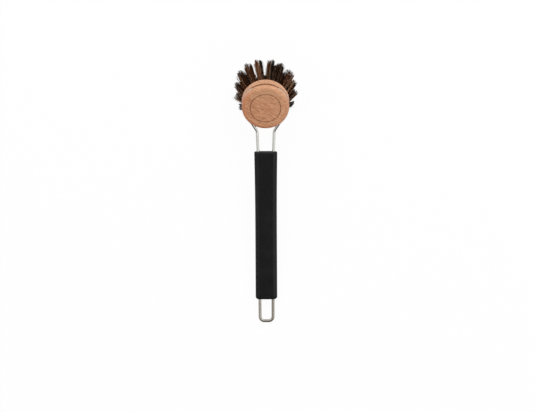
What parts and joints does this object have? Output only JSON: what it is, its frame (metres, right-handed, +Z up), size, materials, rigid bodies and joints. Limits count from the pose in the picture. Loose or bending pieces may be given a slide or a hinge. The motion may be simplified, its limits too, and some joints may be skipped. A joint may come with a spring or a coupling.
{
  "type": "dish brush",
  "caption": "Dish brush: a bent spring wire with a hanging loop and a silicone grip clips round a grooved wooden head of natural bristle tufts.",
  "frame": {"origin": "middle of the outline, at the height of the table that the brush lies on", "axes": "+Y along the brush towards the head, +Z up from the table on the side of the plain wooden face, +X to the right of someone who looks down with the head at the top"},
  "size_m": [0.0656, 0.2627, 0.0617],
  "materials": {
    "spring_steel": "bright polished round wire",
    "black_silicone": "matte, very finely textured",
    "beech": "oiled, turned, with fine flecks",
    "horsehair": "dark brown natural hair",
    "anchor_steel": "plain flat wire"
  },
  "bodies": {
    "handle": {"wire_frame": "spring_steel", "grip": "black_silicone"},
    "head": {"head_block": "beech", "tuft_anchors": "anchor_steel", "tuft_ring_0_01": "horsehair", "tuft_ring_1_01": "horsehair", "tuft_ring_1_02": "horsehair", "tuft_ring_1_03": "horsehair", "tuft_ring_1_04": "horsehair", "tuft_ring_1_05": "horsehair", "tuft_ring_1_06": "horsehair", "tuft_ring_2_01": "horsehair", "tuft_ring_2_02": "horsehair", "tuft_ring_2_03": "horsehair", "tuft_ring_2_04": "horsehair", "tuft_ring_2_05": "horsehair", "tuft_ring_2_06": "horsehair", "tuft_ring_2_07": "horsehair", "tuft_ring_2_08": "horsehair", "tuft_ring_2_09": "horsehair", "tuft_ring_2_10": "horsehair", "tuft_ring_2_11": "horsehair", "tuft_ring_3_01": "horsehair", "tuft_ring_3_02": "horsehair", "tuft_ring_3_03": "horsehair", "tuft_ring_3_04": "horsehair", "tuft_ring_3_05": "horsehair", "tuft_ring_3_06": "horsehair", "tuft_ring_3_07": "horsehair", "tuft_ring_3_08": "horsehair", "tuft_ring_3_09": "horsehair", "tuft_ring_3_10": "horsehair", "tuft_ring_3_11": "horsehair", "tuft_ring_3_12": "horsehair", "tuft_ring_3_13": "horsehair", "tuft_ring_3_14": "horsehair", "tuft_ring_3_15": "horsehair", "tuft_ring_3_16": "horsehair"}
  },
  "joints": [
    {"name": "head_turn", "type": "hinge", "parent": "handle", "child": "head", "pos_m": [0, 0.0858, 0.04618], "axis": [0, -0.4641, 0.8858], "continuous": true}
  ]
}
